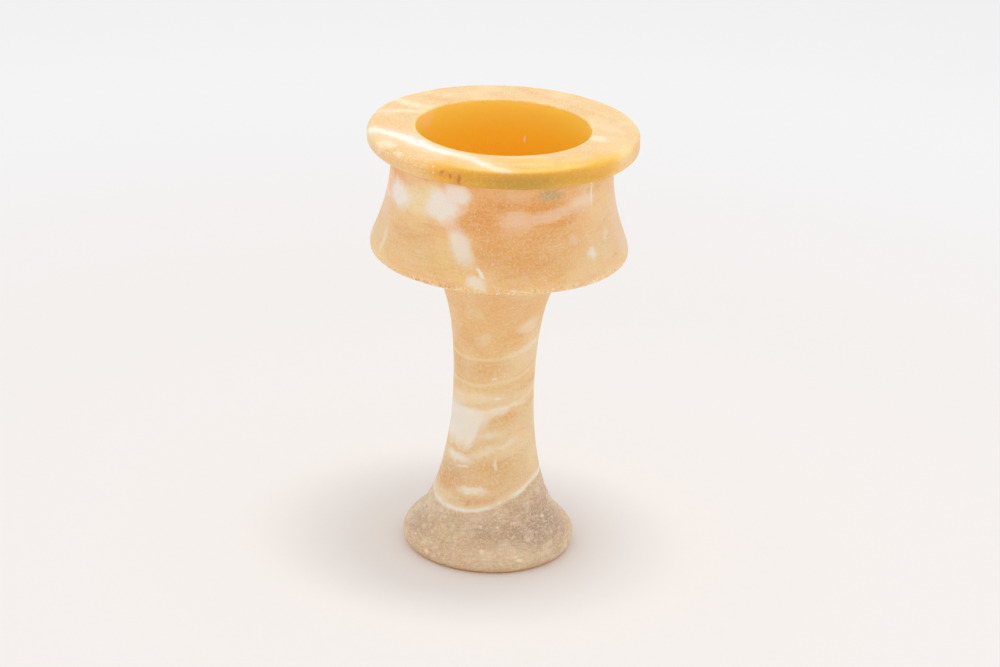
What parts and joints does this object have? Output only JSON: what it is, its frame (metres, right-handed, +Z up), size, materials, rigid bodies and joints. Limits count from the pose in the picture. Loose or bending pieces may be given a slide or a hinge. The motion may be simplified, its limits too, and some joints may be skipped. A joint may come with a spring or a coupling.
{
  "type": "alabaster rhyton",
  "caption": "Stemmed banded-alabaster cup: wide flat rim, bowl with a flared lower edge, waisted stem and a spreading foot, with a straight-sided open cavity.",
  "frame": {"origin": "centre of the foot's flat underside, on the vessel's axis", "axes": "+Z up along the vessel's axis, +X to the right and -Y towards the viewer as the picture sees it"},
  "size_m": [0.1198, 0.1198, 0.2],
  "materials": {
    "alabaster": "dull, hand rubbed, weathered grey at the foot"
  },
  "bodies": {
    "root": {"rhyton": "alabaster"}
  },
  "joints": []
}
